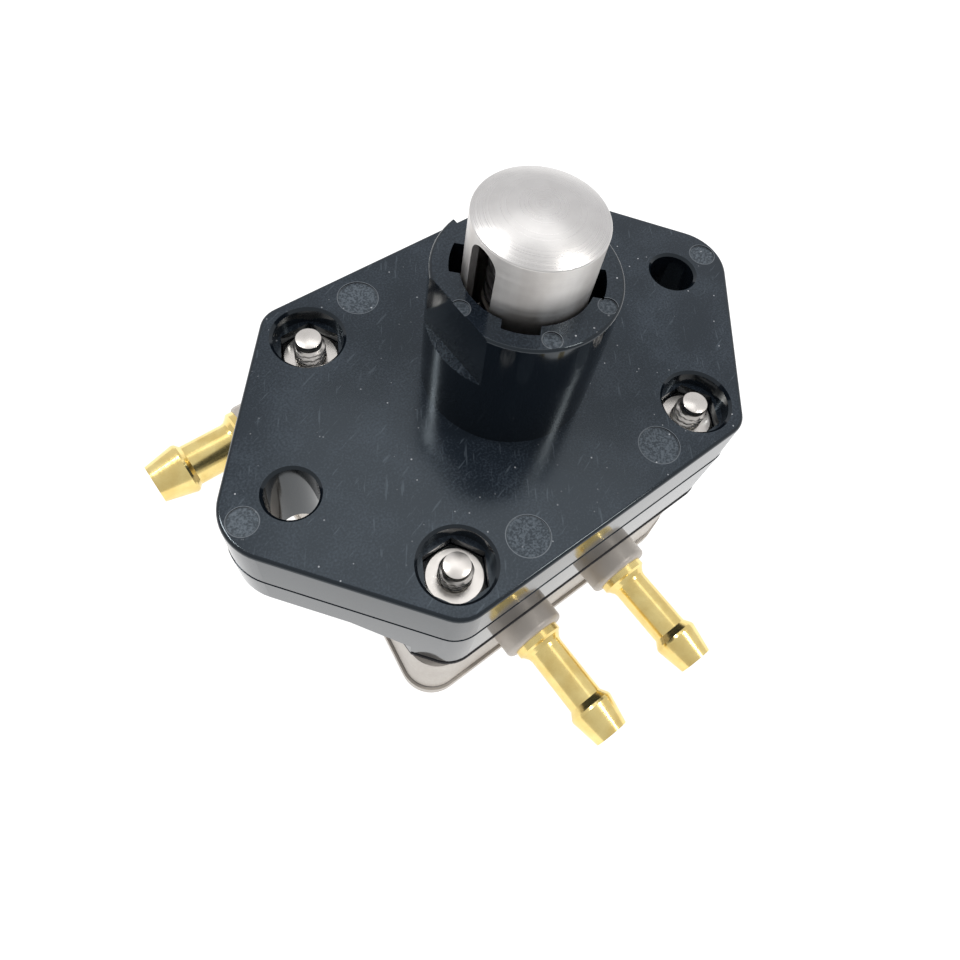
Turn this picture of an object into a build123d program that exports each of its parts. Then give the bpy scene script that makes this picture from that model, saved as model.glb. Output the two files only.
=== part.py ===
from build123d import *
import math
import os

os.makedirs("parts", exist_ok=True)

# Cam-driven diaphragm fuel pump. Millimetres. The origin is where the plunger axis meets the
# mounting face. +Z is the outward direction of the plunger, +X joins the two mounting holes, and
# the two outlet nipples point to -Y.

# Moulded base
ear_x = 59.0
corner_y = 33.8
long_corner_x = 34.2
short_corner_x = 29.6
ear_radius = 10.0
long_corner_radius = 5.8
short_corner_radius = 5.2
parting_depth = 10.5
ear_depth = 18.0
base_depth = 25.5
top_round = 0.7
side_draft = 1.1
parting_growth = 0.2
parting_step = 0.12
hole_x = 44.0
hole_radius = 4.5
hole_bevel = 0.5
ear_relief_radius = 9.6
ear_relief_x = 45.8
gusset_x = 39.2
gusset_depth = 21.7
screw_boss_radius = 9.3
base_chamber_radius = 23.0
base_chamber_flat_radius = 17.0
base_chamber_top = -13.5
base_chamber_shoulder = -20.0
overcut = 1.0

# Through screws and their nut pockets, two at each side, nearer to the centre at one end
short_screw_x = 25.5
long_screw_x = 29.4
screw_y = 25.0
counterbore_radius = 6.8
counterbore_bevel = 0.5
counterbore_depth = 3.5
nut_flats = 10.0
nut_height = 5.0
nut_top = -5.5
nut_bevel = 0.4
pocket_play = 0.3
screw_radius = 2.95
screw_tip_radius = 2.45
screw_tip_length = 1.6
screw_tip_z = -0.4
screw_hole_radius = 3.3
screw_head_radius = 5.4
screw_head_height = 3.6
screw_head_round = 1.2
screw_drive_flats = 5.0
screw_drive_depth = 2.2

# Ejector pin marks in the moulded face
mark_depth = 0.25
ear_mark_radius = 2.6
ear_mark_x = 52.7
field_mark_radius = 3.75

# Tower
tower_foot_radius = 15.2
tower_top_radius = 15.0
tower_height = 25.4
tower_edge_round = 0.5
bore_radius = 10.12
mouth_radius = 10.5
mouth_floor = 21.5
bore_floor = -4.0
groove_radius = 12.1
groove_width = 5.8
groove_floor = 6.0
flat_x = -13.3
flat_ledge_z = 14.6
oil_slot_width = 6.8
oil_slot_reach = (8.0, 20.0)
oil_slot_floor = 17.0
rim_mark_radius = 1.5
rim_mark_reach = 13.1
rim_mark_angles = (-179, -114, -63)

# Plunger
plunger_radius = 10.05
plunger_wall = 1.3
plunger_crown = 1.4
cap_edge_z = 36.0
cap_apex_z = 38.4
plunger_foot_z = 10.0
window_width = 5.4
window_foot_z = 14.45
window_top_z = 35.1
plunger_edge_round = 0.25
stroke = 6.0

# Rod, cross pin and diaphragm stack
rod_radius = 3.0
rod_head_radius = 6.5
rod_head_top = 20.0
rod_head_foot = 12.0
pin_radius = 1.5
pin_length = 19.4
pin_z = 16.0
diaphragm_thickness = 0.8
diaphragm_lift = stroke / 2
plate_radius = 15.0
plate_thickness = 1.2
plate_round = 0.3
membrane_growth = 0.35
roll_radius = 20.8
rod_nut_height = 3.2
rod_nut_flats = 10.0
rod_end_below_nut = 0.5
bush_radius = 5.0
bush_length = 6.0
seal_radius = 8.0
seal_length = 3.5
running_clearance = 0.05

# Springs
return_wire = 1.3
return_coil_radius = 9.3
return_turns = 4.0
seat_washer_thickness = 0.8
seat_washer_radius = 10.0
inner_wire = 1.3
inner_coil_radius = 5.7
inner_turns = 4.5
spring_end_gap = 0.05

# Valve body, gasket and cover
body_top = -base_depth - diaphragm_thickness
body_bottom = -44.5
gasket_thickness = 0.5
cover_thickness = 3.2
cover_overhang = 0.6
cover_bevel = 0.5
pump_chamber_radius = 21.0
pump_chamber_floor = -31.5
well_radius = 7.5
well_floor = -35.2
valve_y = 14.0
valve_port_radius = 3.0
valve_pocket_radius = 6.0
valve_disc_radius = 4.6
valve_coil_radius = 2.6
valve_disc_thickness = 1.0
valve_lift = 1.0
valve_wire = 0.25
valve_spring_turns = 2.5
cage_gap = valve_disc_thickness + 2 * valve_lift
cage_thickness = 1.0
cage_hole_radius = 1.3
cage_hole_reach = 3.9
inlet_seat_z = -35.5
outlet_seat_z = -36.0

# Fuel passages in the valve body, open at the bottom and shut by the gasket and the cover
gallery_top = -38.0
inlet_gallery_x = (-36.4, 4.0)
inlet_riser_x = (-36.4, -31.9)
inlet_riser_top = -30.5
inlet_passage_x = -34.15
outlet_gallery_x = (-20.5, 11.0)
outlet_riser_y = (-30.0, -25.0)
outlet_riser_half_width = 3.3
outlet_riser_top = -29.8

# Hose nipples
outlet_x = (-16.3, 6.9)
outlet_z = -33.0
outlet_face_y = -38.2
outlet_tip_y = -60.8
inlet_y = 32.0
inlet_z = -31.5
inlet_face_x = -40.0
inlet_tip_x = -60.3
outlet_shank_radius = 3.6
outlet_bore_radius = 2.2
inlet_shank_radius = 4.45
inlet_bore_radius = 2.9
inlet_passage_radius = 2.4
boss_radius = 6.5
boss_round = 1.0
outlet_tail_length = 7.0
inlet_tail_length = 5.5

# Heights that follow from the values above
bush_foot = bore_floor - bush_length
seal_foot = bush_foot - seal_length
centre_low = -base_depth - diaphragm_thickness + diaphragm_lift
centre_high = centre_low + diaphragm_thickness
cover_top = body_bottom - gasket_thickness
cover_bottom = cover_top - cover_thickness


def outline(points, radii):
    """A polygon whose corners are rounded, each by its own radius."""
    shape = Polygon(*points, align=None)
    for (x, y), radius in zip(points, radii):
        corner = shape.vertices().sort_by_distance(Vector(x, y, 0))[0]
        shape = fillet(corner, radius)
    return shape


def both_ways(points):
    """The points and the same points turned half a turn about the centre."""
    return list(points) + [(-x, -y) for x, y in points]


def disc(radius, bottom, top, x=0.0, y=0.0):
    """An upright cylinder between two heights."""
    height = top - bottom
    return Pos(x, y, bottom + height / 2) * Cylinder(radius, height)


def tube(outer, inner, bottom, top):
    return disc(outer, bottom, top) - disc(inner, bottom - overcut, top + overcut)


def block(x0, x1, y0, y1, z0, z1):
    """A box between two corners."""
    centre = Pos((x0 + x1) / 2, (y0 + y1) / 2, (z0 + z1) / 2)
    return centre * Box(x1 - x0, y1 - y0, z1 - z0)


def prism(shape, bottom, top):
    return Pos(0, 0, bottom) * extrude(shape, top - bottom)


def turned(points):
    """A solid turned about Z from points given as radius and height."""
    profile = make_face(Polyline(*[(r, 0, z) for r, z in points], close=True))
    return revolve(profile, Axis.Z)


def hex_prism(flats, bottom, top, x, y):
    """A hexagon with two corners on the X direction."""
    shape = RegularPolygon(flats / 2, 6, major_radius=False)
    return Pos(x, y, bottom) * extrude(shape, top - bottom)


def coil(radius, wire, bottom, top, turns):
    """A round-wire helical spring between two heights."""
    low = bottom + wire / 2
    rise = top - bottom - wire
    path = Pos(0, 0, low) * Helix(rise / turns, rise, radius)
    section = Plane(path @ 0, z_dir=path % 0) * Circle(wire / 2)
    return sweep(section, path, is_frenet=True)


plate_points = both_ways([(-ear_x, 0), (-long_corner_x, -corner_y), (short_corner_x, -corner_y)])
plate_radii = [ear_radius, long_corner_radius, short_corner_radius] * 2
screw_places = both_ways([(-long_screw_x, -screw_y), (short_screw_x, -screw_y)])
field_marks = both_ways([(-17.1, -27.8), (13.1, -27.8)])


def make_plate():
    """The flange: an upper and a lower half that draw apart at the parting line."""
    upper_outline = offset(outline(plate_points, plate_radii), parting_growth)
    lower_outline = offset(upper_outline, parting_step)
    parting = Pos(0, 0, -parting_depth)
    upper = parting * extrude(upper_outline, parting_depth, taper=side_draft)
    upper = fillet(upper.faces().sort_by(Axis.Z)[-1].edges(), top_round)
    lower = parting * extrude(lower_outline, parting_depth - base_depth, taper=side_draft / 2)
    bosses = Part() + [
        lower & disc(screw_boss_radius, -base_depth, -ear_depth, x, y) for x, y in screw_places]
    foot = -base_depth - overcut
    beyond = ear_x + 5
    relief = make_face(Polyline(
        (ear_relief_x, 0, -ear_depth), (gusset_x, 0, -gusset_depth), (gusset_x, 0, foot),
        (beyond, 0, foot), (beyond, 0, -ear_depth), close=True))
    relief = extrude(relief, 40, both=True) + disc(ear_relief_radius, foot, -ear_depth, hole_x)
    for turn in (0, 180):
        lower -= Rot(0, 0, turn) * relief
    return upper + lower + bosses


def make_tower():
    """The round tower with a flat on one side of its end."""
    tower = turned([
        (0, -overcut), (tower_foot_radius, -overcut), (tower_foot_radius, flat_ledge_z),
        (tower_top_radius, tower_height), (0, tower_height)])
    tower = fillet(tower.edges().sort_by(Axis.Z)[-1], tower_edge_round)
    side = tower_foot_radius + overcut
    return tower - block(-side, flat_x, -side, side, flat_ledge_z, tower_height + overcut)


def make_bore():
    """What is hollow along the plunger axis, from the tower's mouth to the diaphragm chamber."""
    above = tower_height + overcut
    bore = disc(bore_radius, bore_floor, above)
    bore += turned([
        (0, mouth_floor), (bore_radius, mouth_floor), (mouth_radius, mouth_floor + 1),
        (mouth_radius, above), (0, above)])
    half = groove_width / 2
    groove = block(0, groove_radius, -half, half, groove_floor, above)
    groove &= disc(groove_radius, groove_floor, above)
    for quarter in range(4):
        bore += Rot(0, 0, 45 + 90 * quarter) * groove
    half = oil_slot_width / 2
    bore += block(-half, half, *oil_slot_reach, oil_slot_floor, above)
    bore += disc(bush_radius, bush_foot, bore_floor + overcut)
    bore += disc(seal_radius, base_chamber_top - overcut, bush_foot)
    bore += turned([
        (0, base_chamber_top), (base_chamber_flat_radius, base_chamber_top),
        (base_chamber_radius, base_chamber_shoulder), (base_chamber_radius, -base_depth - overcut),
        (0, -base_depth - overcut)])
    return bore


def bevelled_hole(radius, bevel, floor, x, y):
    """A hole that is open at the mounting face and bevelled at its mouth."""
    mouth = Pos(x, y, -bevel / 2) * Cone(radius, radius + bevel, bevel)
    return disc(radius, floor, overcut, x, y) + mouth


def make_base():
    base = make_plate() + make_tower() - make_bore()
    for x in (-hole_x, hole_x):
        base -= bevelled_hole(hole_radius, hole_bevel, -ear_depth - overcut, x, 0)
    for x in (-ear_mark_x, ear_mark_x):
        base -= disc(ear_mark_radius, -mark_depth, overcut, x, 0)
    for x, y in field_marks:
        base -= disc(field_mark_radius, -mark_depth, overcut, x, y)
    for angle in rim_mark_angles:
        mark = disc(rim_mark_radius, tower_height - mark_depth, tower_height + overcut)
        base -= Rot(0, 0, angle) * Pos(rim_mark_reach, 0, 0) * mark
    for x, y in screw_places:
        mouth = counterbore_radius - counterbore_bevel
        base -= bevelled_hole(mouth, counterbore_bevel, -counterbore_depth, x, y)
        base -= hex_prism(nut_flats + pocket_play, nut_top - nut_height, 0, x, y)
        base -= disc(screw_hole_radius, -base_depth - overcut, 0, x, y)
    return base


def make_plunger():
    inner = plunger_radius - plunger_wall
    rise = cap_apex_z - cap_edge_z
    dome_radius = (plunger_radius ** 2 + rise ** 2) / (2 * rise)
    dome_centre = cap_apex_z - dome_radius
    shell = disc(plunger_radius, plunger_foot_z, cap_apex_z)
    shell &= Pos(0, 0, dome_centre) * Sphere(dome_radius)
    circles = shell.edges().filter_by(GeomType.CIRCLE)
    rim = [edge for edge in circles if edge.center().Z > plunger_foot_z + 1]
    shell = fillet(rim, plunger_edge_round)
    shell -= disc(inner, plunger_foot_z - 1, cap_edge_z - plunger_crown)
    half = window_width / 2
    window = block(-20, 20, -half, half, window_foot_z, window_top_z - half)
    window += Pos(0, 0, window_top_z - half) * Rot(0, 90, 0) * Cylinder(half, 40)
    return shell - window


def make_rod():
    foot = centre_low - plate_thickness - rod_nut_height - rod_end_below_nut
    rod = disc(rod_radius, foot, rod_head_foot + 0.01)
    rod += chamfer(disc(rod_head_radius, rod_head_foot, rod_head_top).edges(), 0.4)
    rod -= Pos(0, 0, pin_z) * Rot(0, 90, 0) * Cylinder(pin_radius, 30)
    return rod


def make_membrane():
    """A flat sheet clamped round its edge, with a lifted centre and a rolled ring between."""
    low, high = -base_depth - diaphragm_thickness, -base_depth
    under, over = low - overcut, high + overcut
    sheet = prism(offset(outline(plate_points, plate_radii), membrane_growth), low, high)
    for side in (-1, 1):
        ends = sorted((side * (ear_x + 5), side * gusset_x))
        sheet -= block(*ends, -40, 40, under, over)
        sheet -= disc(ear_relief_radius, under, over, side * hole_x)
    for x, y in screw_places:
        sheet -= disc(screw_hole_radius, under, over, x, y)
    sheet -= disc(roll_radius, under, over)
    roll = turned([
        (rod_radius, centre_low), (15.6, centre_low), (17.4, centre_low + 0.9), (18.8, centre_low + 0.2),
        (20.4, low), (roll_radius, low), (roll_radius, high), (20.6, high), (19.4, centre_high + 0.4),
        (17.5, centre_high + 1.3), (15.4, centre_high), (rod_radius, centre_high)])
    return sheet + roll


def stack_disc(radius, bottom):
    """A diaphragm plate with a rolled rim, clamped on the rod."""
    plate = disc(radius, bottom, bottom + plate_thickness)
    plate = fillet(plate.edges(), plate_round)
    return plate - disc(rod_radius, bottom - overcut, bottom + plate_thickness + overcut)


body_points = both_ways([
    (-40.0, -33.4), (24.0, -33.4), (33.2, -30.8), (33.2, 12.0), (37.4, 16.0)])
body_radii = [6.0, 3.0, 6.0, 3.0, 3.0] * 2


def along_y(radius, x, z, y0, y1):
    return Pos(x, (y0 + y1) / 2, z) * Rot(90, 0, 0) * Cylinder(radius, y1 - y0)


def along_x(radius, y, z, x0, x1):
    return Pos((x0 + x1) / 2, y, z) * Rot(0, 90, 0) * Cylinder(radius, x1 - x0)


def inlet_housing(bottom, top, grow=0.0):
    """The cast block beside the body that carries the inlet boss."""
    shape = Pos(-33.25, 22.5) * RectangleRounded(10.5 + 2 * grow, 29.0 + 2 * grow, 3.0)
    return prism(shape, bottom, top)


def make_valve_body():
    body = prism(outline(body_points, body_radii), body_bottom, body_top)
    body += inlet_housing(body_bottom, body_top)
    for x in outlet_x:
        boss = along_y(boss_radius, x, outlet_z, outlet_face_y, -28)
        body += fillet(boss.edges().sort_by(Axis.Y)[0], boss_round)
    boss = along_x(boss_radius, inlet_y, inlet_z, inlet_face_x, -30)
    boss = fillet(boss.edges().sort_by(Axis.X)[0], boss_round)
    body += boss & block(-60, 0, 0, 60, body_bottom, body_top)
    under, over = body_bottom - overcut, body_top + overcut
    body -= disc(pump_chamber_radius, pump_chamber_floor, over)
    body -= disc(well_radius, well_floor, over)
    for x, y in screw_places:
        body -= disc(screw_hole_radius, under, over, x, y)
    body -= disc(valve_pocket_radius, inlet_seat_z, over, 0, valve_y)
    body -= disc(valve_port_radius, under, over, 0, valve_y)
    body -= disc(valve_port_radius, under, over, 0, -valve_y)
    body -= disc(valve_pocket_radius, under, outlet_seat_z, 0, -valve_y)
    inlet_sides = valve_y - valve_port_radius, valve_y + valve_port_radius
    body -= block(*inlet_gallery_x, *inlet_sides, under, gallery_top)
    body -= block(*inlet_riser_x, *inlet_sides, under, inlet_riser_top)
    body -= along_y(inlet_passage_radius, inlet_passage_x, inlet_z, valve_y, inlet_y)
    body -= along_x(inlet_shank_radius, inlet_y, inlet_z,
                    inlet_face_x - overcut, inlet_face_x + inlet_tail_length)
    body -= along_x(inlet_passage_radius, inlet_y, inlet_z, inlet_face_x, -32)
    riser_far, riser_near = outlet_riser_y
    body -= block(*outlet_gallery_x, riser_far, valve_port_radius - valve_y, under, gallery_top)
    for x in outlet_x:
        body -= block(x - outlet_riser_half_width, x + outlet_riser_half_width,
                      riser_far, riser_near, under, outlet_riser_top)
        body -= along_y(outlet_shank_radius, x, outlet_z,
                        outlet_face_y - overcut, outlet_face_y + outlet_tail_length)
        body -= along_y(outlet_bore_radius, x, outlet_z, outlet_face_y, riser_near - overcut)
    return body


def cover_outline(bottom, top, grow):
    """The body's outline as a flat plate with the screw holes."""
    shape = offset(outline(body_points, body_radii), grow)
    plate = prism(shape, bottom, top) + inlet_housing(bottom, top, grow)
    for x, y in screw_places:
        plate -= disc(screw_hole_radius, bottom - overcut, top + overcut, x, y)
    return plate


def nipple(shank, barb, tip, collar, bore, length, tail, barb_back, barb_top):
    """A hose barb on +Z: the collar's seat is at z = 0 and the tail goes below it."""
    return turned([
        (bore, -tail), (shank - 0.3, -tail), (shank, -tail + 0.4), (shank, 0), (collar, 0), (collar, 1.3),
        (collar - 0.5, 1.7), (shank + 0.15, 2.6), (shank, 3.2), (shank, length - barb_back),
        (barb - 0.15, length - barb_top - 0.2), (barb, length - barb_top + 0.3), (tip, length),
        (bore, length)])


def make_disc_valve(seat, side, spring_name, disc_name, cage_name, y):
    """A spring-loaded flat valve; side is +1 where it opens upwards and -1 downwards."""
    def span(start, thickness):
        ends = (start, start + side * thickness)
        return min(ends), max(ends)
    plate = disc(valve_disc_radius, *span(seat, valve_disc_thickness), 0, y)
    spring_start = seat + side * (valve_disc_thickness + spring_end_gap)
    spring_room = cage_gap - valve_disc_thickness - 2 * spring_end_gap
    low, high = span(spring_start, spring_room)
    spring = Pos(0, y, 0) * coil(valve_coil_radius, valve_wire, low, high, valve_spring_turns)
    cage_low, cage_high = span(seat + side * cage_gap, cage_thickness)
    cage = disc(valve_pocket_radius, cage_low, cage_high, 0, y)
    for hole in range(4):
        angle = math.radians(45 + 90 * hole)
        x_hole = cage_hole_reach * math.cos(angle)
        y_hole = y + cage_hole_reach * math.sin(angle)
        cage -= disc(cage_hole_radius, cage_low - overcut, cage_high + overcut, x_hole, y_hole)
    return {disc_name: plate, spring_name: spring, cage_name: cage}


nodes = {}
nodes["mounting_base"] = make_base()
nodes["plunger"] = make_plunger()
nodes["spring_seat"] = tube(
    seat_washer_radius, rod_head_radius + 0.3, bore_floor, bore_floor + seat_washer_thickness)
nodes["plunger_spring"] = coil(
    return_coil_radius, return_wire, bore_floor + seat_washer_thickness + spring_end_gap,
    plunger_foot_z - spring_end_gap, return_turns)
nodes["diaphragm_spring"] = coil(
    inner_coil_radius, inner_wire, rod_head_top + spring_end_gap,
    cap_edge_z - plunger_crown - spring_end_gap, inner_turns)
nodes["diaphragm_rod"] = make_rod()
cross_pin = Pos(0, 0, pin_z) * Rot(0, 90, 0) * Cylinder(pin_radius, pin_length)
nodes["cross_pin"] = chamfer(cross_pin.edges(), 0.3)
lip_radius = rod_radius + running_clearance
nodes["rod_bush"] = tube(bush_radius, lip_radius, bush_foot, bore_floor)
nodes["rod_seal"] = turned([
    (seal_radius, bush_foot), (seal_radius, seal_foot), (6.4, seal_foot), (6.4, bush_foot - 1.2),
    (4.6, bush_foot - 1.4), (4.2, bush_foot - 3.0), (lip_radius, bush_foot - 2.6),
    (lip_radius + 0.4, bush_foot)])
nodes["upper_diaphragm_plate"] = stack_disc(plate_radius, centre_high)
nodes["diaphragm"] = make_membrane()
nodes["lower_diaphragm_plate"] = stack_disc(plate_radius - 1, centre_low - plate_thickness)
stack_foot = centre_low - plate_thickness
rod_nut = hex_prism(rod_nut_flats, stack_foot - rod_nut_height, stack_foot, 0, 0)
nodes["rod_nut"] = rod_nut - disc(rod_radius, stack_foot - rod_nut_height - overcut, stack_foot + overcut)
nodes["valve_body"] = make_valve_body()
nodes.update(make_disc_valve(
    inlet_seat_z, 1, "inlet_valve_spring", "inlet_valve_disc", "inlet_valve_cage", valve_y))
nodes.update(make_disc_valve(
    outlet_seat_z, -1, "outlet_valve_spring", "outlet_valve_disc", "outlet_valve_cage", -valve_y))
nodes["cover_gasket"] = cover_outline(cover_top, body_bottom, 0.0)
cover = cover_outline(cover_bottom, cover_top, cover_overhang)
nodes["bottom_cover"] = chamfer(cover.faces().sort_by(Axis.Z)[0].outer_wire().edges(), cover_bevel)


def make_nut(x, y):
    """A hexagon nut whose upper corners are turned down to a circle inside its flats."""
    foot = nut_top - nut_height
    corner_radius = nut_flats / 2 / math.cos(math.pi / 6)
    turned_top = Cone(corner_radius, nut_flats / 2 - nut_bevel / 2, nut_bevel)
    blank = disc(corner_radius, foot, nut_top - nut_bevel, x, y)
    blank += Pos(x, y, nut_top - nut_bevel / 2) * turned_top
    nut = hex_prism(nut_flats, foot, nut_top, x, y) & blank
    return nut - disc(screw_radius, foot - overcut, nut_top + overcut, x, y)


def make_screw(x, y):
    """A screw with a round socket head below the cover and a dog point above its nut."""
    tip_foot = screw_tip_z - screw_tip_length
    tip = disc(screw_tip_radius, tip_foot, screw_tip_z, x, y)
    screw = disc(screw_radius, cover_bottom, tip_foot, x, y)
    screw += Pos(x, y, tip_foot + 0.25) * Cone(screw_radius, screw_tip_radius, 0.5)
    screw += chamfer(tip.edges().group_by(Axis.Z)[-1], 0.3)
    head_foot = cover_bottom - screw_head_height
    head = disc(screw_head_radius, head_foot, cover_bottom, x, y)
    head = fillet(head.edges().group_by(Axis.Z)[0], screw_head_round)
    drive = hex_prism(screw_drive_flats, head_foot - overcut, head_foot + screw_drive_depth, x, y)
    return screw + head - drive


nuts = [make_nut(x, y) for x, y in screw_places]
screws = [make_screw(x, y) for x, y in screw_places]
nodes["hex_nuts"] = Compound(children=[shape.solids()[0] for shape in nuts])
nodes["body_screws"] = Compound(children=[shape.solids()[0] for shape in screws])

outlet_length = outlet_face_y - outlet_tip_y
inlet_length = inlet_face_x - inlet_tip_x
outlet_barb = nipple(
    shank=outlet_shank_radius, barb=4.6, tip=3.5, collar=4.9, bore=outlet_bore_radius,
    length=outlet_length, tail=outlet_tail_length, barb_back=7.6, barb_top=6.1)
for name, x in zip(("outlet_nipple_left", "outlet_nipple_right"), outlet_x):
    nodes[name] = Pos(x, outlet_face_y, outlet_z) * Rot(90, 0, 0) * outlet_barb
inlet_barb = nipple(
    shank=inlet_shank_radius, barb=5.45, tip=4.05, collar=5.9, bore=inlet_bore_radius,
    length=inlet_length, tail=inlet_tail_length, barb_back=7.8, barb_top=6.8)
nodes["inlet_nipple"] = Pos(inlet_face_x, inlet_y, inlet_z) * Rot(0, -90, 0) * inlet_barb

for name, shape in nodes.items():
    export_step(shape, "parts/" + name + ".step")
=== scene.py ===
import math

import bmesh
import bpy
from mathutils import Matrix, Vector


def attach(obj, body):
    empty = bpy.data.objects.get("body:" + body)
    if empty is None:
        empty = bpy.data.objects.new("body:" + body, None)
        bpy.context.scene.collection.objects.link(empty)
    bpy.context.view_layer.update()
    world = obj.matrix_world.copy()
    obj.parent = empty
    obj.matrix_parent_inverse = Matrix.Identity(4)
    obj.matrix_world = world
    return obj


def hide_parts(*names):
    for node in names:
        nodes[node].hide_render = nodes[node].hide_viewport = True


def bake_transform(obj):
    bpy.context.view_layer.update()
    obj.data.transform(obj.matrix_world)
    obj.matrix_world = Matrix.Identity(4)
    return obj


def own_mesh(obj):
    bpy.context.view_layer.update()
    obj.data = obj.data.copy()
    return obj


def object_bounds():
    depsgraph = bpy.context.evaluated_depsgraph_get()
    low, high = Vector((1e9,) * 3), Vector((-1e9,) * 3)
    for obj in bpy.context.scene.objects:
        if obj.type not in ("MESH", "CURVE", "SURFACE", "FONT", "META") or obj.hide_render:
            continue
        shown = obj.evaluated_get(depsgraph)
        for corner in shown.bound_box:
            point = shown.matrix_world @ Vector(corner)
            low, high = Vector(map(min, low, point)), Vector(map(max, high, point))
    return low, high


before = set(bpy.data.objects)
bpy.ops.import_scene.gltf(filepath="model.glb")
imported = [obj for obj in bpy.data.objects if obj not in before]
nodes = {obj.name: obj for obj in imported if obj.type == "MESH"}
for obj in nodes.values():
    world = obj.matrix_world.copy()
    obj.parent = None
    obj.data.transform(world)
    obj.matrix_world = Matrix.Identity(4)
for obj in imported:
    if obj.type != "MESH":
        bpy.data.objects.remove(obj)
cad_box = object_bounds()
MM = 0.001


# ---------------------------------------------------------------- materials

class Graph:
    """Builds a node material with a few short calls."""

    def __init__(self, name):
        self.material = bpy.data.materials.new(name)
        self.material.use_nodes = True
        self.tree = self.material.node_tree
        self.shader = self.tree.nodes["Principled BSDF"]

    def node(self, kind, **values):
        made = self.tree.nodes.new(kind)
        for key, value in values.items():
            setattr(made, key, value)
        return made

    def link(self, output, target):
        self.tree.links.new(output, target)

    def position(self):
        return self.node("ShaderNodeTexCoord").outputs["Object"]

    def mapping(self, source, socket, value):
        """The source turned or stretched, as the socket is Rotation or Scale."""
        made = self.node("ShaderNodeMapping")
        made.inputs[socket].default_value = value
        self.link(source, made.inputs["Vector"])
        return made.outputs["Vector"]

    def noise(self, scale, detail=4.0, stretch=None, turn=0.0, source=None):
        """Noise in repeats per metre, stretched along axes turned about Z by degrees."""
        texture = self.node("ShaderNodeTexNoise")
        texture.inputs["Scale"].default_value = scale
        texture.inputs["Detail"].default_value = detail
        if source is None:
            source = self.position()
        if stretch:
            source = self.mapping(source, "Rotation", (0.0, 0.0, math.radians(turn)))
            source = self.mapping(source, "Scale", stretch)
        self.link(source, texture.inputs["Vector"])
        return texture.outputs["Fac"]

    def ramp(self, source, low, high, first, second):
        """Maps low..high of the source to first..second."""
        made = self.node("ShaderNodeMapRange")
        made.inputs["From Min"].default_value = low
        made.inputs["From Max"].default_value = high
        made.inputs["To Min"].default_value = first
        made.inputs["To Max"].default_value = second
        self.link(source, made.inputs["Value"])
        return made.outputs["Result"]

    def spread(self, noise, first, second):
        """Maps the range that most noise values lie in to first..second."""
        return self.ramp(noise, 0.3, 0.7, first, second)

    def math(self, operation, first, second=0.0):
        made = self.node("ShaderNodeMath", operation=operation)
        for socket, value in zip(made.inputs, (first, second)):
            if isinstance(value, (int, float)):
                socket.default_value = value
            else:
                self.link(value, socket)
        return made.outputs["Value"]

    def mix(self, factor, first, second):
        """A colour between two, each given as numbers or as a socket."""
        made = self.node("ShaderNodeMix", data_type="RGBA")
        self.link(factor, made.inputs[0])
        for index, value in ((6, first), (7, second)):
            if isinstance(value, tuple):
                made.inputs[index].default_value = (*value, 1.0)
            else:
                self.link(value, made.inputs[index])
        return made.outputs[2]

    def vector(self, operation, first, second=(0.0, 0.0, 0.0)):
        made = self.node("ShaderNodeVectorMath", operation=operation)
        self.link(first, made.inputs[0])
        made.inputs[1].default_value = second
        return made.outputs["Value" if operation in ("DISTANCE", "LENGTH") else "Vector"]

    def component(self, source, axis):
        split = self.node("ShaderNodeSeparateXYZ")
        self.link(source, split.inputs["Vector"])
        return split.outputs[axis]

    def flat_position(self):
        """The position seen from above, with no height."""
        return self.vector("MULTIPLY", self.position(), (1.0, 1.0, 0.0))

    def normal_z(self):
        """How far the surface faces up, from -1 to 1."""
        return self.component(self.node("ShaderNodeNewGeometry").outputs["Normal"], "Z")

    def specks(self, scale, radius):
        """Small round specks scattered at random, 1 inside a speck with a soft edge."""
        cells = self.node("ShaderNodeTexVoronoi")
        cells.inputs["Scale"].default_value = scale
        self.link(self.position(), cells.inputs["Vector"])
        return self.ramp(cells.outputs["Distance"], radius * 0.6, radius, 1.0, 0.0)

    def bump(self, height, strength, distance):
        made = self.node("ShaderNodeBump")
        made.inputs["Strength"].default_value = strength
        made.inputs["Distance"].default_value = distance
        self.link(height, made.inputs["Height"])
        self.link(made.outputs["Normal"], self.shader.inputs["Normal"])

    def paint(self, colour):
        self.link(colour, self.shader.inputs["Base Color"])

    def roughen(self, amount):
        self.link(amount, self.shader.inputs["Roughness"])

    def set(self, **values):
        """Sets the shader's own sockets; an underscore stands for a space."""
        for key, value in values.items():
            self.shader.inputs[key.replace("_", " ")].default_value = value


def half_turn(places):
    """The places, and the same places turned by half a turn about Z."""
    return places + [(-x, -y, radius) for x, y, radius in places]


# Ejector marks of the moulding, as x, y and radius in metres: on the plate, then on the rim.
MARKS = half_turn([
    (52.7 * MM, 0.0, 2.6 * MM),
    (-17.1 * MM, -27.8 * MM, 3.75 * MM),
    (13.1 * MM, -27.8 * MM, 3.75 * MM),
])
RIM_MARK_ANGLES, RIM_MARK_CIRCLE, RIM_MARK_RADIUS = (-179, -114, -63), 13.1 * MM, 1.5 * MM
MARKS += [
    (RIM_MARK_CIRCLE * math.cos(math.radians(angle)),
     RIM_MARK_CIRCLE * math.sin(math.radians(angle)), RIM_MARK_RADIUS)
    for angle in RIM_MARK_ANGLES
]
# The ledges between the plate and the rim have no marks: their middle height and half-height
LEDGE_MIDDLE, LEDGE_REACH = 12.0 * MM, 6.0 * MM


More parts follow.
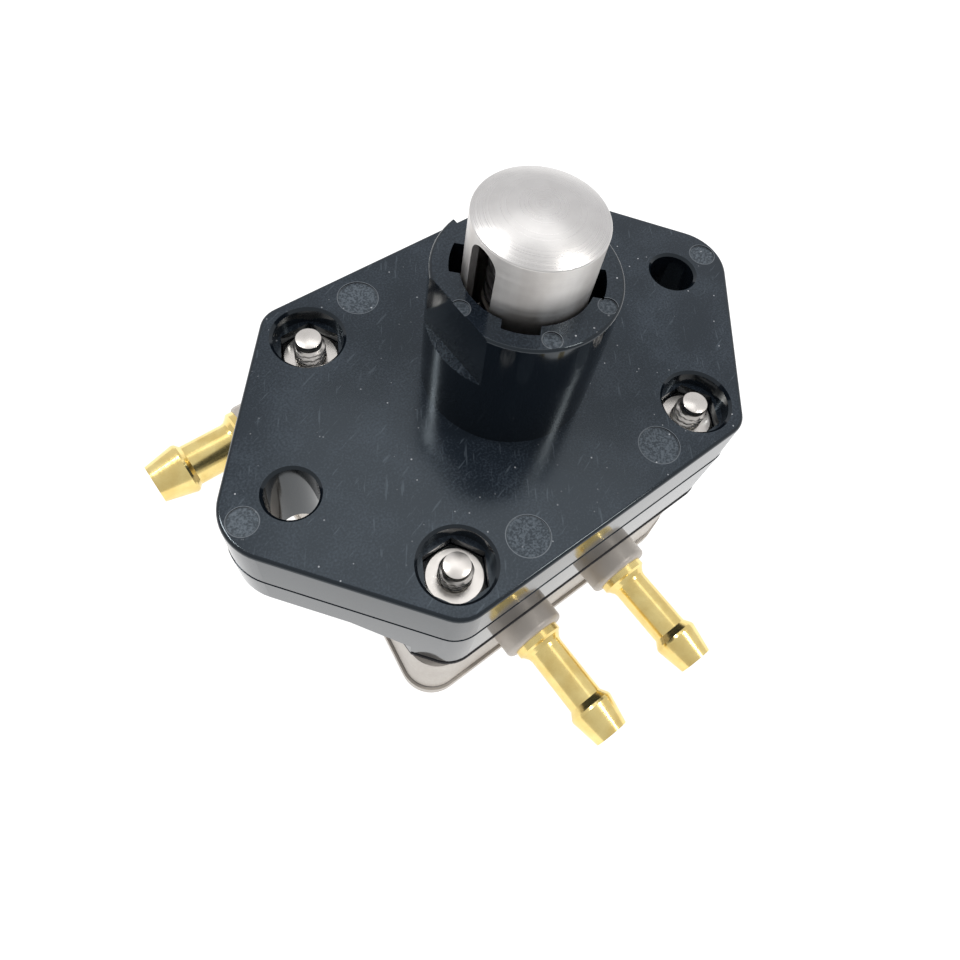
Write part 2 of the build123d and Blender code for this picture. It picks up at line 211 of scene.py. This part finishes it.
def mark_distance(g):
    """How far a point is outside the nearest ejector mark, seen from above."""
    flat = g.flat_position()
    nearest = None
    for x, y, radius in MARKS:
        outside = g.math("SUBTRACT", g.vector("DISTANCE", flat, (x, y, 0.0)), radius)
        nearest = outside if nearest is None else g.math("MINIMUM", nearest, outside)
    return nearest


def black_plastic():
    """Glossy moulded plastic whose level upward faces are worn to a dusty satin."""
    g = Graph("black_plastic")
    clean, dusty, wall = (0.009, 0.013, 0.019), (0.036, 0.047, 0.061), (0.004, 0.006, 0.009)
    scratched, speck = (0.09, 0.11, 0.13), (0.55, 0.56, 0.58)
    # The marks' ring colour is a painted highlight, standing in for light caught along their
    # raised edges.
    mark_grain, mark_rim_highlight = (0.11, 0.13, 0.15), (0.22, 0.24, 0.26)

    upward = g.ramp(g.normal_z(), 0.985, 0.998, 0.0, 1.0)
    grain = g.noise(2600.0, 6.0)
    fine = g.noise(9000.0, 3.0)
    cloud = g.noise(90.0, 4.0)
    wear = g.math("ADD", g.math("MULTIPLY", grain, 0.55), g.math("MULTIPLY", cloud, 0.45))
    dust = g.ramp(wear, 0.47, 0.70, 0.0, 1.0)
    specks = g.math("MULTIPLY", g.specks(420.0, 0.075), g.ramp(cloud, 0.42, 0.60, 0.1, 1.0))
    scratches = [
        g.ramp(g.noise(scale, 2.0, stretch, turn), 0.66, 0.72, 0.0, 0.35)
        for scale, stretch, turn in (
            (1500.0, (1.0, 0.10, 1.0), 35.0), (1300.0, (0.12, 1.0, 1.0), -20.0))
    ]
    marks = mark_distance(g)
    height = g.component(g.position(), "Z")
    from_ledge = g.math("ABSOLUTE", g.math("SUBTRACT", height, LEDGE_MIDDLE))
    marked = g.ramp(from_ledge, LEDGE_REACH, LEDGE_REACH + MM, 0.0, 1.0)
    inside = g.math("MULTIPLY", marked, g.ramp(marks, -0.25 * MM, -0.10 * MM, 1.0, 0.0))
    # The ring round each mark is painted lighter: a painted highlight along the mark's raised
    # edge.
    rim = g.ramp(g.math("ABSOLUTE", marks), 0.04 * MM, 0.16 * MM, 1.0, 0.0)
    edge = g.math("MULTIPLY", marked, rim)
    speckled = g.math("MULTIPLY", inside, g.ramp(grain, 0.42, 0.62, 0.15, 1.0))

    colour = g.mix(dust, clean, dusty)
    colour = g.mix(g.math("MAXIMUM", *scratches), colour, scratched)
    colour = g.mix(g.math("MULTIPLY", speckled, 0.75), colour, mark_grain)
    # Painted highlight along each mark's raised edge.
    colour = g.mix(g.math("MULTIPLY", edge, 0.65), colour, mark_rim_highlight)
    colour = g.mix(specks, colour, speck)
    g.paint(g.mix(upward, wall, colour))

    satin = g.math("ADD", g.spread(fine, 0.11, 0.20), g.math("MULTIPLY", inside, 0.25))
    satin = g.math("ADD", satin, g.math("MULTIPLY", dust, 0.10))
    glossy = g.spread(fine, 0.07, 0.11)
    blend = g.math("MULTIPLY", upward, g.math("SUBTRACT", satin, glossy))
    g.roughen(g.math("ADD", glossy, blend))
    g.bump(g.math("MULTIPLY", g.math("ADD", grain, fine), upward), 0.16, 0.03 * MM)
    g.set(IOR=1.5, Specular_Tint=(0.82, 0.93, 1.0, 1.0))
    return g.material


def turned_metal(name, colour, dark, roughness, ring_scale, axis="Z", bump=0.08):
    """Machined metal: fine rings along the axis and a slight change of tone."""
    g = Graph(name)
    rings = g.noise(ring_scale, 3.0, tuple(1.0 if letter == axis else 0.02 for letter in "XYZ"))
    g.paint(g.mix(g.ramp(g.noise(260.0), 0.35, 0.75, 0.0, 1.0), colour, dark))
    g.roughen(g.spread(rings, roughness * 0.75, roughness * 1.3))
    g.bump(rings, bump, 0.03 * MM)
    g.set(Metallic=1.0)
    return g.material


def brushed_dome():
    """Stainless steel polished in circles about the plunger axis, stained on its wall."""
    g = Graph("brushed_stainless")
    dim, bright, stain = (0.60, 0.585, 0.57), (0.72, 0.705, 0.685), (0.40, 0.36, 0.33)
    around_axis = g.node("ShaderNodeCombineXYZ")
    g.link(g.vector("LENGTH", g.flat_position()), around_axis.inputs["X"])
    g.link(g.component(g.position(), "Z"), around_axis.inputs["Z"])
    rings = g.noise(5200.0, source=around_axis.outputs["Vector"])
    steel = g.mix(g.noise(420.0), dim, bright)
    wall = g.ramp(g.math("ABSOLUTE", g.normal_z()), 0.1, 0.7, 1.0, 0.0)
    streak = g.ramp(g.noise(230.0, 3.0, (1.0, 1.0, 0.25)), 0.40, 0.75, 0.0, 0.45)
    g.paint(g.mix(g.math("MULTIPLY", wall, streak), steel, stain))
    g.roughen(g.math("ADD", g.spread(rings, 0.24, 0.38), g.math("MULTIPLY", wall, 0.12)))
    g.bump(rings, 0.06, 0.03 * MM)
    g.set(Metallic=1.0)
    return g.material


def cast_metal():
    """Bare die-cast metal, dull and slightly grainy."""
    g = Graph("cast_metal")
    dim, bright = (0.45, 0.41, 0.365), (0.55, 0.51, 0.46)
    grain = g.noise(1500.0, 8.0)
    g.paint(g.mix(g.spread(g.noise(90.0), 0.0, 1.0), dim, bright))
    g.roughen(g.spread(grain, 0.34, 0.52))
    g.bump(grain, 0.3, 0.08 * MM)
    g.set(Metallic=0.4)
    return g.material


def soft_black(name, colour, roughness, scale):
    """Rubber or coated fabric with a fine grain."""
    g = Graph(name)
    grain = g.noise(scale, 5.0)
    g.paint(g.mix(grain, colour, tuple(part * 1.8 for part in colour)))
    g.roughen(g.spread(grain, roughness * 0.85, roughness * 1.15))
    g.bump(grain, 0.2, 0.05 * MM)
    return g.material


BRASS = ((0.92, 0.74, 0.31), (0.77, 0.56, 0.19), 0.20, 7000.0)
plastic = black_plastic()
stainless = brushed_dome()
brass_y = turned_metal("brass_turned_y", *BRASS, axis="Y")
brass_x = turned_metal("brass_turned_x", *BRASS, axis="X")
zinc = turned_metal("zinc_plate", (0.76, 0.725, 0.68), (0.63, 0.60, 0.56), 0.27, 5000.0)
spring_steel = turned_metal(
    "spring_steel", (0.42, 0.42, 0.43), (0.32, 0.32, 0.33), 0.30, 3000.0)
bronze = turned_metal(
    "sintered_bronze", (0.62, 0.42, 0.22), (0.50, 0.34, 0.18), 0.42, 3000.0, bump=0.2)
casting = cast_metal()
rubber = soft_black("rubber", (0.018, 0.018, 0.019), 0.62, 2500.0)
fabric_rubber = soft_black("diaphragm_sheet", (0.022, 0.021, 0.022), 0.70, 4000.0)

finishes = (
    (plastic, "mounting_base"),
    (stainless, "plunger"),
    (zinc, "spring_seat diaphragm_rod cross_pin upper_diaphragm_plate lower_diaphragm_plate"
           " rod_nut hex_nuts body_screws"),
    (spring_steel, "plunger_spring diaphragm_spring inlet_valve_spring outlet_valve_spring"),
    (bronze, "rod_bush inlet_valve_cage outlet_valve_cage"),
    (rubber, "rod_seal inlet_valve_disc outlet_valve_disc cover_gasket"),
    (fabric_rubber, "diaphragm"),
    (casting, "valve_body bottom_cover"),
    (brass_y, "outlet_nipple_left outlet_nipple_right"),
    (brass_x, "inlet_nipple"),
)
for material, names in finishes:
    for name in names.split():
        mesh = nodes[name].data
        mesh.materials.clear()
        mesh.materials.append(material)


# ---------------------------------------------------------------- pieces made here

def mesh_piece(name, vertices, faces, material, smooth_angle=40.0):
    """A mesh object from vertices in metres, smooth except at its sharp edges."""
    mesh = bpy.data.meshes.new(name)
    mesh.from_pydata(vertices, [], faces)
    work = bmesh.new()
    work.from_mesh(mesh)
    bmesh.ops.recalc_face_normals(work, faces=work.faces)
    for face in work.faces:
        face.smooth = True
    sharp = math.radians(smooth_angle)
    for edge in work.edges:
        if len(edge.link_faces) == 2 and edge.calc_face_angle(0.0) > sharp:
            edge.smooth = False
    work.to_mesh(mesh)
    work.free()
    mesh.materials.append(material)
    piece = bpy.data.objects.new(name, mesh)
    bpy.context.scene.collection.objects.link(piece)
    return piece


def stacked_rings(rings):
    """Joins equal rings of vertices into a skin with a cap at each end."""
    vertices = [point for ring in rings for point in ring]
    size = len(rings[0])
    faces = []
    for row in range(len(rings) - 1):
        low, high = row * size, (row + 1) * size
        for i in range(size):
            j = (i + 1) % size
            faces.append((low + i, low + j, high + j, high + i))
    faces.append(tuple(range(size)))
    faces.append(tuple(range((len(rings) - 1) * size, len(rings) * size)))
    return vertices, faces


STEPS_PER_TURN, WIRE_SIDES = 40, 14
CLOSED_TURNS = 0.75  # the flat turns at each end of a spring
END_RISE = 0.55  # what a closed end rises by, in wire thicknesses


def spring_piece(name, centre, radius, wire, low, high, turns, material):
    """A compression spring with closed ends, in millimetres, its axis along Z."""
    steps = int(turns * STEPS_PER_TURN)
    bottom, top = low + wire / 2, high - wire / 2
    end_rise = END_RISE * wire
    rings = []
    for step in range(steps + 1):
        turn = turns * step / steps
        angle = 2 * math.pi * turn
        if turn < CLOSED_TURNS:
            height = bottom + end_rise * (turn / CLOSED_TURNS) ** 2
        elif turn > turns - CLOSED_TURNS:
            height = top - end_rise * ((turns - turn) / CLOSED_TURNS) ** 2
        else:
            share = (turn - CLOSED_TURNS) / (turns - 2 * CLOSED_TURNS)
            height = bottom + end_rise + share * (top - bottom - 2 * end_rise)
        out = Vector((math.cos(angle), math.sin(angle), 0.0))
        middle = Vector((centre[0], centre[1], height)) + out * radius
        ring = []
        for side in range(WIRE_SIDES):
            around = 2 * math.pi * side / WIRE_SIDES
            offset = out * math.cos(around) + Vector((0, 0, 1)) * math.sin(around)
            ring.append((middle + offset * wire / 2) * MM)
        rings.append(ring)
    return mesh_piece(name, *stacked_rings(rings), material)


# Screws, in millimetres
SCREWS = [(-29.4, -25.0), (25.5, -25.0), (29.4, 25.0), (-25.5, 25.0)]
SCREW_SIDES = 48
THREAD_PITCH, THREAD_CREST, THREAD_ROOT = 1.25, 2.92, 2.36
CREST_SHARE, FLANK_SHARE = 0.14, 0.66  # of half a pitch; the flat root takes the rest
THREAD_FOOT, THREAD_TOP, THREAD_STEP = -13.0, -2.1, 0.11
SHANK_RADIUS = 2.95
HEAD_FOOT, HEAD_TOP, HEAD_RADIUS, HEAD_ROUND = -51.8, -48.2, 5.4, 1.2
SOCKET_FLOOR, SOCKET_RADIUS = -49.6, 2.35
TINY_RADIUS = 0.02  # of the rings on the axis, which close the two ends


def thread_radius(turn):
    """The thread's radius along its turns: a flat crest and root joined by two flanks."""
    from_crest = abs(turn % 1.0 - 0.5) * 2.0
    share = min(1.0, max(0.0, (from_crest - CREST_SHARE) / FLANK_SHARE))
    return THREAD_CREST + (THREAD_ROOT - THREAD_CREST) * share


def screw_rings(x, y, levels):
    """Rings about Z; a level is a height and a radius, or None for a radius in the thread."""
    rings = []
    for height, plain in levels:
        ring = []
        for side in range(SCREW_SIDES):
            angle = 2 * math.pi * side / SCREW_SIDES
            radius = plain
            if plain is None:
                radius = thread_radius(height / THREAD_PITCH - side / SCREW_SIDES)
            place = (x + radius * math.cos(angle), y + radius * math.sin(angle), height)
            ring.append(Vector(place) * MM)
        rings.append(ring)
    return rings


def threaded_screws():
    """The four screws that hold the stack: socket head, shank, thread and dog point."""
    socket_mouth = [(HEAD_FOOT + 0.3, 2.4), (HEAD_FOOT, 2.75)]
    thread_runout = [(THREAD_FOOT - 1.0, SHANK_RADIUS), (THREAD_FOOT - 0.4, 2.7)]
    dog_point = [(-1.75, THREAD_ROOT), (-0.75, THREAD_ROOT), (-0.5, 2.30), (-0.4, 2.12)]
    levels = [(SOCKET_FLOOR, TINY_RADIUS), (SOCKET_FLOOR, SOCKET_RADIUS)] + socket_mouth
    for degrees in range(0, 91, 15):
        bend = math.radians(degrees)
        levels.append((HEAD_FOOT + HEAD_ROUND - HEAD_ROUND * math.cos(bend),
                       HEAD_RADIUS - HEAD_ROUND + HEAD_ROUND * math.sin(bend)))
    levels += [(HEAD_TOP, HEAD_RADIUS), (HEAD_TOP, SHANK_RADIUS)] + thread_runout
    rows = int(round((THREAD_TOP - THREAD_FOOT) / THREAD_STEP))
    levels += [(THREAD_FOOT + THREAD_STEP * row, None) for row in range(rows + 1)]
    levels += dog_point + [(-0.4, TINY_RADIUS)]
    vertices, faces = [], []
    for x, y in SCREWS:
        made, skin = stacked_rings(screw_rings(x, y, levels))
        faces += [tuple(index + len(vertices) for index in face) for face in skin]
        vertices += made
    return mesh_piece("threaded_screws", vertices, faces, zinc, 30.0)


def node_copy(name, node, material):
    """A piece with the same shape as a CAD node, with its own copy of the mesh and the given
    material.
    """
    piece = bpy.data.objects.new(name, nodes[node].data.copy())
    piece.data.materials.clear()
    piece.data.materials.append(material)
    bpy.context.scene.collection.objects.link(piece)
    return piece


screws = threaded_screws()
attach(screws, "housing")
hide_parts("body_screws")

return_low, return_high = -3.15, 9.95
return_spring = spring_piece(
    "return_spring", (0.0, 0.0), 9.3, 1.3, return_low, return_high, 4.0, spring_steel)
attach(return_spring, "housing")
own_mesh(return_spring)
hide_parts("plunger_spring")

inner_spring = spring_piece(
    "rod_spring", (0.0, 0.0), 5.7, 1.3, 20.05, 34.55, 5.0, spring_steel)
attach(inner_spring, "plunger")
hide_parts("diaphragm_spring")

# The last number gives the end where each spring is held: the inlet's at its top and the
# outlet's at its foot.
for side, y, low, high, fixed in (
        ("inlet", 14.0, -34.45, -32.55, -32.55), ("outlet", -14.0, -38.95, -37.05, -38.95)):
    spring = spring_piece(side + "_check_spring", (0.0, y), 2.6, 0.25, low, high, 3.5,
                          spring_steel)
    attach(spring, "housing")
    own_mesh(spring)
    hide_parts(side + "_valve_spring")

sheet = node_copy("diaphragm_membrane", "diaphragm", fabric_rubber)
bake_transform(sheet)
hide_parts("diaphragm")


# ---------------------------------------------------------------- stage, light and camera

WHITE = (1.0, 1.0, 1.0, 1.0)
FLOOR_SIDE, FLOOR_GLOW = 12.0, 0.88


def pale_floor():
    g = Graph("pale_floor")
    g.paint(g.mix(g.noise(2.0, 2.0), (0.36, 0.36, 0.36), (0.38, 0.38, 0.38)))
    g.set(Roughness=0.9, Emission_Color=WHITE, Emission_Strength=FLOOR_GLOW)
    return g.material


lowest = cad_box[0][2]
bpy.ops.mesh.primitive_plane_add(size=FLOOR_SIDE, location=(0, 0, lowest))
floor = bpy.context.object
floor.name = "floor"
floor.data.materials.append(pale_floor())

LIGHT_DISTANCE = 0.9


def area_light(name, azimuth, elevation, size, power, colour=(1.0, 1.0, 1.0)):
    """A soft box that looks at the origin from an azimuth and elevation in degrees."""
    a, e = math.radians(azimuth), math.radians(elevation)
    towards = Vector((math.cos(a) * math.cos(e), math.sin(a) * math.cos(e), math.sin(e)))
    place = towards * LIGHT_DISTANCE
    light = bpy.data.lights.new(name, "AREA")
    light.shape = "RECTANGLE"
    light.size, light.size_y = size
    light.energy = power
    light.color = colour
    holder = bpy.data.objects.new(name, light)
    holder.location = place
    holder.rotation_euler = (-place).to_track_quat("-Z", "Y").to_euler()
    bpy.context.scene.collection.objects.link(holder)


area_light("overhead_box", 42.0, 69.0, (0.55, 0.34), 0.50)
area_light("left_strip", 122.0, 57.0, (0.07, 0.26), 2.0)
area_light("right_strip", -42.0, 57.0, (0.08, 0.26), 1.3, (1.0, 0.98, 0.95))

# The sky lights the object from a paler and a dimmer side; camera rays see plain white.
PALE_SIDE, PALE_RISE = math.radians(40.0), 0.15
DIM_FROM, PALE_FROM = -0.7, 0.6
DIM_SKY, PALE_SKY = (0.64, 0.64, 0.65, 1.0), (0.80, 0.80, 0.82, 1.0)


def studio_sky():
    world = bpy.data.worlds.new("studio")
    world.use_nodes = True
    tree = world.node_tree
    background = tree.nodes["Background"]
    background.inputs["Strength"].default_value = 1.0
    direction = tree.nodes.new("ShaderNodeTexCoord")
    towards = tree.nodes.new("ShaderNodeVectorMath")
    towards.operation = "DOT_PRODUCT"
    towards.inputs[1].default_value = (math.cos(PALE_SIDE), math.sin(PALE_SIDE), PALE_RISE)
    place = tree.nodes.new("ShaderNodeMapRange")
    place.inputs["From Min"].default_value = DIM_FROM
    place.inputs["From Max"].default_value = PALE_FROM
    sky = tree.nodes.new("ShaderNodeValToRGB")
    for end, position, colour in zip(sky.color_ramp.elements, (0.0, 1.0), (DIM_SKY, PALE_SKY)):
        end.position = position
        end.color = colour
    seen = tree.nodes.new("ShaderNodeLightPath")
    choose = tree.nodes.new("ShaderNodeMix")
    choose.data_type = "RGBA"
    choose.inputs[7].default_value = WHITE
    for output, target in (
            (direction.outputs["Generated"], towards.inputs[0]),
            (towards.outputs["Value"], place.inputs["Value"]),
            (place.outputs["Result"], sky.inputs["Fac"]),
            (seen.outputs["Is Camera Ray"], choose.inputs[0]),
            (sky.outputs["Color"], choose.inputs[6]),
            (choose.outputs[2], background.inputs["Color"])):
        tree.links.new(output, target)
    return world


bpy.context.scene.world = studio_sky()

# The photograph's camera: place and target in the part's frame, roll, and lens in millimetres
CAMERA_PLACE = Vector((-60.9, -51.6, 108.0)) * MM
CAMERA_TARGET = Vector((-17.45, -15.3, 0.0)) * MM
CAMERA_ROLL = math.radians(14.02)
SENSOR_WIDTH, LENS = 36.0, 27.46

camera_data = bpy.data.cameras.new("camera")
camera_data.sensor_width = SENSOR_WIDTH
camera_data.lens = LENS
camera_data.clip_start = 5.0 * MM
camera = bpy.data.objects.new("camera", camera_data)
facing = (CAMERA_TARGET - CAMERA_PLACE).to_track_quat("-Z", "Y").to_matrix().to_4x4()
camera.matrix_world = (
    Matrix.Translation(CAMERA_PLACE) @ facing @ Matrix.Rotation(CAMERA_ROLL, 4, "Z"))
bpy.context.scene.collection.objects.link(camera)
bpy.context.scene.camera = camera

bpy.context.scene.view_settings.view_transform = "Standard"
bpy.context.scene.view_settings.look = "None"
